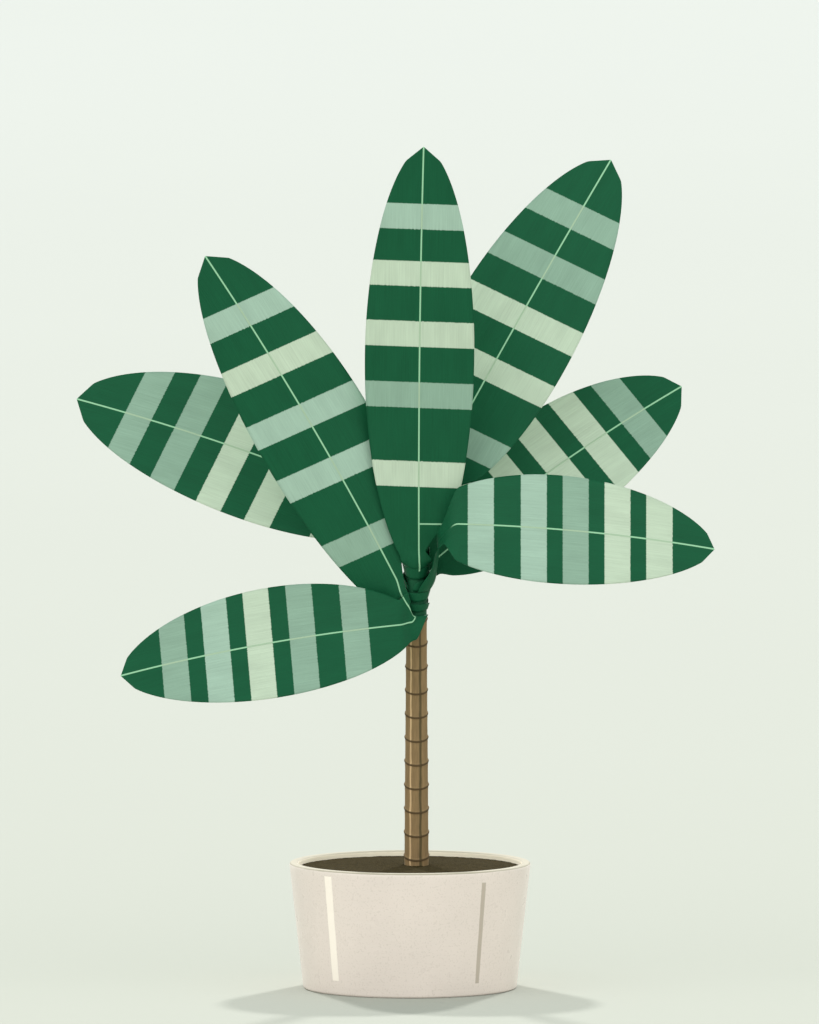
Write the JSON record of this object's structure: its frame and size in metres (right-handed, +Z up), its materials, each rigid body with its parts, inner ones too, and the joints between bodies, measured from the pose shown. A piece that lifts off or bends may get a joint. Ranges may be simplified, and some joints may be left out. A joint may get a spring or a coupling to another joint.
{
  "type": "potted dracaena",
  "caption": "Potted house plant with a slim ringed cane, broad cross-banded leaves and a low tapered round pot of soil.",
  "frame": {"origin": "the middle of the pot's underside", "axes": "+Z up along the pot's axis, +X to the right and -Y towards the front, as the picture shows the plant"},
  "size_m": [0.6381, 0.3057, 0.8496],
  "materials": {
    "pot": "satin glaze",
    "soil": "matte, moist soil",
    "cane": "rough bark",
    "leaf": "waxy"
  },
  "bodies": {
    "root": {"pot": "pot", "soil": "soil", "cane": "cane", "leaf_lower_left": "leaf", "leaf_upper_left": "leaf", "leaf_right": "leaf", "leaf_right_back": "leaf", "leaf_top": "leaf", "leaf_left": "leaf", "leaf_upper_right": "leaf"}
  },
  "joints": []
}
